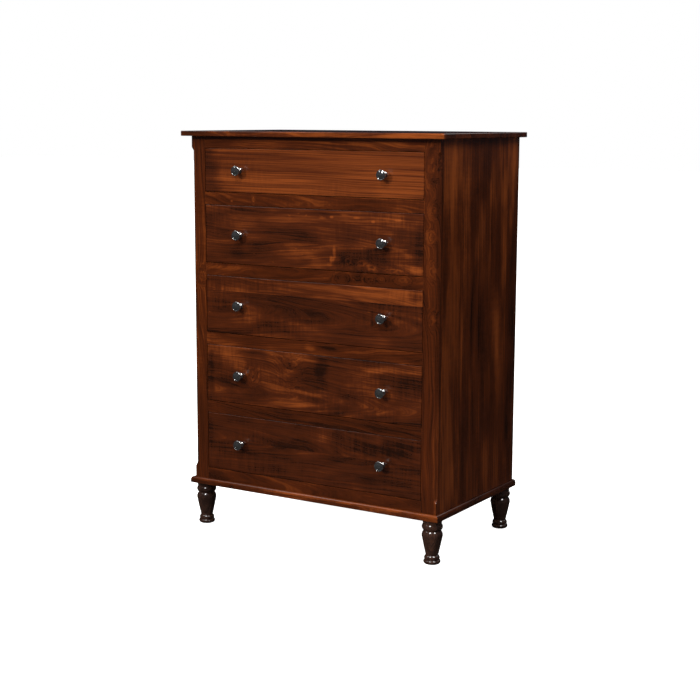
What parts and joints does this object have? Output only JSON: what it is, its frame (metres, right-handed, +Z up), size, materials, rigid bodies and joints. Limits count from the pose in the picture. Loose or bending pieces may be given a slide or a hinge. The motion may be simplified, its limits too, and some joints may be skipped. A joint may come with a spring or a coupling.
{
  "type": "chest of drawers",
  "caption": "Tall dark-stained wooden chest with a flush face frame, sliding dovetailed drawers with small round metal knobs, stopped chamfers, a moulded base and turned feet.",
  "frame": {"origin": "on the floor, under the middle of the chest's bounding box", "axes": "+X to the chest's right as seen from the front, +Y from the drawer fronts to the back, +Z up"},
  "size_m": [0.936, 0.551, 1.27],
  "materials": {
    "case_wood": "dark stain under satin lacquer",
    "front_wood": "dark stain under satin lacquer",
    "turned_wood": "very dark stain under gloss lacquer",
    "inner_wood": "bare planed wood",
    "panel_wood": "bare sanded plywood",
    "knob_metal": "polished",
    "screw_steel": "zinc plated"
  },
  "bodies": {
    "case": {"top_panel": "case_wood", "left_side_panel": "case_wood", "right_side_panel": "case_wood", "left_front_stile": "case_wood", "right_front_stile": "case_wood", "bottom_rail": "case_wood", "divider_rail_4": "case_wood", "divider_rail_3": "case_wood", "divider_rail_2": "case_wood", "divider_rail_1": "case_wood", "top_rail": "case_wood", "back_panel": "panel_wood", "web_frame_rear_rails": "inner_wood", "web_frame_side_rails": "inner_wood", "drawer_guides": "inner_wood", "drawer_stops": "inner_wood", "base_front_moulding": "case_wood", "base_left_moulding": "case_wood", "base_right_moulding": "case_wood", "base_back_board": "case_wood", "base_screws": "screw_steel", "front_left_foot": "turned_wood", "front_right_foot": "turned_wood", "back_left_foot": "turned_wood", "back_right_foot": "turned_wood"},
    "drawer_1": {"drawer_1_front": "front_wood", "drawer_1_left_side": "inner_wood", "drawer_1_right_side": "inner_wood", "drawer_1_back": "inner_wood", "drawer_1_bottom": "panel_wood", "drawer_1_knobs": "knob_metal", "drawer_1_knob_screws": "screw_steel"},
    "drawer_2": {"drawer_2_front": "front_wood", "drawer_2_left_side": "inner_wood", "drawer_2_right_side": "inner_wood", "drawer_2_back": "inner_wood", "drawer_2_bottom": "panel_wood", "drawer_2_knobs": "knob_metal", "drawer_2_knob_screws": "screw_steel"},
    "drawer_3": {"drawer_3_front": "front_wood", "drawer_3_left_side": "inner_wood", "drawer_3_right_side": "inner_wood", "drawer_3_back": "inner_wood", "drawer_3_bottom": "panel_wood", "drawer_3_knobs": "knob_metal", "drawer_3_knob_screws": "screw_steel"},
    "drawer_4": {"drawer_4_front": "front_wood", "drawer_4_left_side": "inner_wood", "drawer_4_right_side": "inner_wood", "drawer_4_back": "inner_wood", "drawer_4_bottom": "panel_wood", "drawer_4_knobs": "knob_metal", "drawer_4_knob_screws": "screw_steel"},
    "drawer_5": {"drawer_5_front": "front_wood", "drawer_5_left_side": "inner_wood", "drawer_5_right_side": "inner_wood", "drawer_5_back": "inner_wood", "drawer_5_bottom": "panel_wood", "drawer_5_knobs": "knob_metal", "drawer_5_knob_screws": "screw_steel"}
  },
  "joints": [
    {"name": "drawer_1_slide", "type": "slide", "parent": "case", "child": "drawer_1", "axis": [0, -1, 0], "range_m": [0, 0.36]},
    {"name": "drawer_2_slide", "type": "slide", "parent": "case", "child": "drawer_2", "axis": [0, -1, 0], "range_m": [0, 0.36]},
    {"name": "drawer_3_slide", "type": "slide", "parent": "case", "child": "drawer_3", "axis": [0, -1, 0], "range_m": [0, 0.36]},
    {"name": "drawer_4_slide", "type": "slide", "parent": "case", "child": "drawer_4", "axis": [0, -1, 0], "range_m": [0, 0.36]},
    {"name": "drawer_5_slide", "type": "slide", "parent": "case", "child": "drawer_5", "axis": [0, -1, 0], "range_m": [0, 0.36]}
  ]
}
